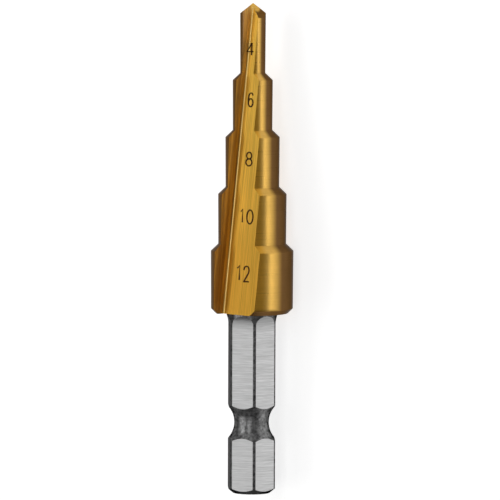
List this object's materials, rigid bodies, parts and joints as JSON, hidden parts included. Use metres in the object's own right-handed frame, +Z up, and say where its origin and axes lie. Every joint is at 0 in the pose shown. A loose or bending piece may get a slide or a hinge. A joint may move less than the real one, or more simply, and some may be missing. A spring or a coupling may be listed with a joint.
{
  "type": "step drill",
  "caption": "Stepped drill bit with graded cutting diameters, V flutes, a split point and a grooved hex shank, for opening holes in sheet to a chosen size.",
  "frame": {"origin": "on the surface that the drill lies on, under the middle of its box", "axes": "+Y along the drill's axis towards the point, +Z up, +X to the right when the point is away from you"},
  "size_m": [0.0114, 0.069, 0.0099],
  "materials": {
    "coated_steel": "gold nitride coating over ground steel, with a bare ground hex shank"
  },
  "bodies": {
    "root": {"step_drill": "coated_steel"}
  },
  "joints": []
}
